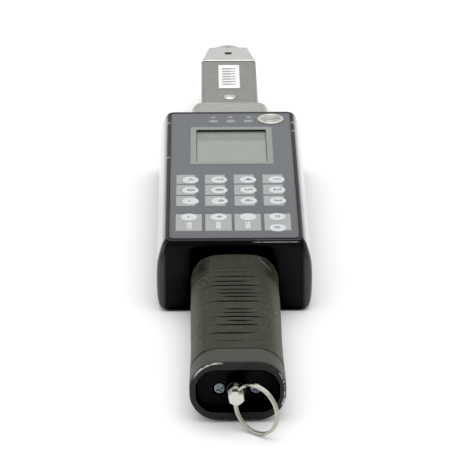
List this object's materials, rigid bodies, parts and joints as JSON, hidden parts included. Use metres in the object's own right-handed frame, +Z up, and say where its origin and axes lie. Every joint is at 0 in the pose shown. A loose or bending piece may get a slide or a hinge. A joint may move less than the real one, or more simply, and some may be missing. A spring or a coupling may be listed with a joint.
{
  "type": "digital torque wrench",
  "caption": "Straight hand torque wrench with rubber grip, wide housing with display and keypad, measuring bar and ring-end insert tool.",
  "frame": {"origin": "centre of the flat underside of the housing, on the surface the wrench lies on", "axes": "+Y runs from the grip to the insert tool, +Z points up out of the keypad, +X is to the right seen from the grip"},
  "size_m": [0.0782, 0.4718, 0.0378],
  "materials": {
    "housing_paint": "glossy",
    "base_paint": "satin",
    "screw_steel": "satin",
    "fascia_film": "satin",
    "key_film": "satin",
    "display_frame_film": "satin",
    "display_glass": "glossy",
    "display_module": "matt",
    "lamp_lens": "glossy",
    "badge_metal": "satin",
    "board_laminate": "satin",
    "tube_metal": "anodised",
    "grip_rubber": "matt",
    "end_ring_paint": "worn satin",
    "end_plate_plastic": "satin",
    "end_screw_steel": "dark satin",
    "boss_metal": "dull",
    "eyelet_steel": "polished",
    "collar_metal": "satin",
    "cover_metal": "satin",
    "label_film": "satin",
    "pin_steel": "satin",
    "beam_steel": "ground",
    "gauge_foil": "satin",
    "head_steel": "brushed",
    "tool_steel": "satin",
    "battery_wrap": "glossy",
    "contact_metal": "dull"
  },
  "bodies": {
    "wrench": {"housing_body": "housing_paint", "base_plate": "base_paint", "base_screw_1": "screw_steel", "base_screw_2": "screw_steel", "base_screw_3": "screw_steel", "base_screw_4": "screw_steel", "keypad_fascia": "fascia_film", "display_frame": "display_frame_film", "display_glass": "display_glass", "display_module": "display_module", "lamp_left": "lamp_lens", "lamp_middle": "lamp_lens", "lamp_right": "lamp_lens", "badge": "badge_metal", "circuit_board": "board_laminate", "handle_tube": "tube_metal", "grip_sleeve": "grip_rubber", "end_ring": "end_ring_paint", "end_plate": "end_plate_plastic", "end_screw_left": "end_screw_steel", "end_screw_right": "end_screw_steel", "connector_boss": "boss_metal", "hex_eyelet": "eyelet_steel", "collar": "collar_metal", "bar_cover": "cover_metal", "label": "label_film", "domed_pin": "pin_steel", "measuring_beam": "beam_steel", "strain_gauge_left": "gauge_foil", "strain_gauge_right": "gauge_foil", "insert_head": "head_steel", "insert_tool": "tool_steel", "detent_spring": "tool_steel", "battery_1": "battery_wrap", "battery_2": "battery_wrap", "battery_3": "battery_wrap", "battery_4": "battery_wrap", "battery_contact_front": "contact_metal", "battery_contact_rear": "contact_metal"},
    "key_row1_1": {"key_row1_1": "key_film"},
    "key_row1_2": {"key_row1_2": "key_film"},
    "key_row1_3": {"key_row1_3": "key_film"},
    "key_row1_4": {"key_row1_4": "key_film"},
    "key_row2_1": {"key_row2_1": "key_film"},
    "key_row2_2": {"key_row2_2": "key_film"},
    "key_row2_3": {"key_row2_3": "key_film"},
    "key_row2_4": {"key_row2_4": "key_film"},
    "key_row3_1": {"key_row3_1": "key_film"},
    "key_row3_2": {"key_row3_2": "key_film"},
    "key_row3_3": {"key_row3_3": "key_film"},
    "key_row3_4": {"key_row3_4": "key_film"},
    "key_row4_1": {"key_row4_1": "key_film"},
    "key_row4_2": {"key_row4_2": "key_film"},
    "key_row4_3": {"key_row4_3": "key_film"},
    "key_row4_4": {"key_row4_4": "key_film"},
    "key_row5_4": {"key_row5_4": "key_film"},
    "key_ring": {"key_ring": "eyelet_steel"},
    "detent_pin": {"detent_pin": "tool_steel"}
  },
  "joints": [
    {"name": "key_row1_1_press", "type": "slide", "parent": "wrench", "child": "key_row1_1", "axis": [0, 0, -1], "range_m": [0, 0.0004], "stiffness_N_per_m": 800},
    {"name": "key_row1_2_press", "type": "slide", "parent": "wrench", "child": "key_row1_2", "axis": [0, 0, -1], "range_m": [0, 0.0004], "stiffness_N_per_m": 800},
    {"name": "key_row1_3_press", "type": "slide", "parent": "wrench", "child": "key_row1_3", "axis": [0, 0, -1], "range_m": [0, 0.0004], "stiffness_N_per_m": 800},
    {"name": "key_row1_4_press", "type": "slide", "parent": "wrench", "child": "key_row1_4", "axis": [0, 0, -1], "range_m": [0, 0.0004], "stiffness_N_per_m": 800},
    {"name": "key_row2_1_press", "type": "slide", "parent": "wrench", "child": "key_row2_1", "axis": [0, 0, -1], "range_m": [0, 0.0004], "stiffness_N_per_m": 800},
    {"name": "key_row2_2_press", "type": "slide", "parent": "wrench", "child": "key_row2_2", "axis": [0, 0, -1], "range_m": [0, 0.0004], "stiffness_N_per_m": 800},
    {"name": "key_row2_3_press", "type": "slide", "parent": "wrench", "child": "key_row2_3", "axis": [0, 0, -1], "range_m": [0, 0.0004], "stiffness_N_per_m": 800},
    {"name": "key_row2_4_press", "type": "slide", "parent": "wrench", "child": "key_row2_4", "axis": [0, 0, -1], "range_m": [0, 0.0004], "stiffness_N_per_m": 800},
    {"name": "key_row3_1_press", "type": "slide", "parent": "wrench", "child": "key_row3_1", "axis": [0, 0, -1], "range_m": [0, 0.0004], "stiffness_N_per_m": 800},
    {"name": "key_row3_2_press", "type": "slide", "parent": "wrench", "child": "key_row3_2", "axis": [0, 0, -1], "range_m": [0, 0.0004], "stiffness_N_per_m": 800},
    {"name": "key_row3_3_press", "type": "slide", "parent": "wrench", "child": "key_row3_3", "axis": [0, 0, -1], "range_m": [0, 0.0004], "stiffness_N_per_m": 800},
    {"name": "key_row3_4_press", "type": "slide", "parent": "wrench", "child": "key_row3_4", "axis": [0, 0, -1], "range_m": [0, 0.0004], "stiffness_N_per_m": 800},
    {"name": "key_row4_1_press", "type": "slide", "parent": "wrench", "child": "key_row4_1", "axis": [0, 0, -1], "range_m": [0, 0.0004], "stiffness_N_per_m": 800},
    {"name": "key_row4_2_press", "type": "slide", "parent": "wrench", "child": "key_row4_2", "axis": [0, 0, -1], "range_m": [0, 0.0004], "stiffness_N_per_m": 800},
    {"name": "key_row4_3_press", "type": "slide", "parent": "wrench", "child": "key_row4_3", "axis": [0, 0, -1], "range_m": [0, 0.0004], "stiffness_N_per_m": 800},
    {"name": "key_row4_4_press", "type": "slide", "parent": "wrench", "child": "key_row4_4", "axis": [0, 0, -1], "range_m": [0, 0.0004], "stiffness_N_per_m": 800},
    {"name": "key_row5_4_press", "type": "slide", "parent": "wrench", "child": "key_row5_4", "axis": [0, 0, -1], "range_m": [0, 0.0004], "stiffness_N_per_m": 800},
    {"name": "key_ring_swing", "type": "hinge", "parent": "wrench", "child": "key_ring", "pos_m": [-0.0008, -0.2182, 0.0161], "axis": [0, 0, 1], "range_deg": [-137, 33]},
    {"name": "detent_press", "type": "slide", "parent": "wrench", "child": "detent_pin", "axis": [0, 0, -1], "range_m": [0, 0.0019], "stiffness_N_per_m": 1500, "deforming": ["detent_spring"]}
  ]
}
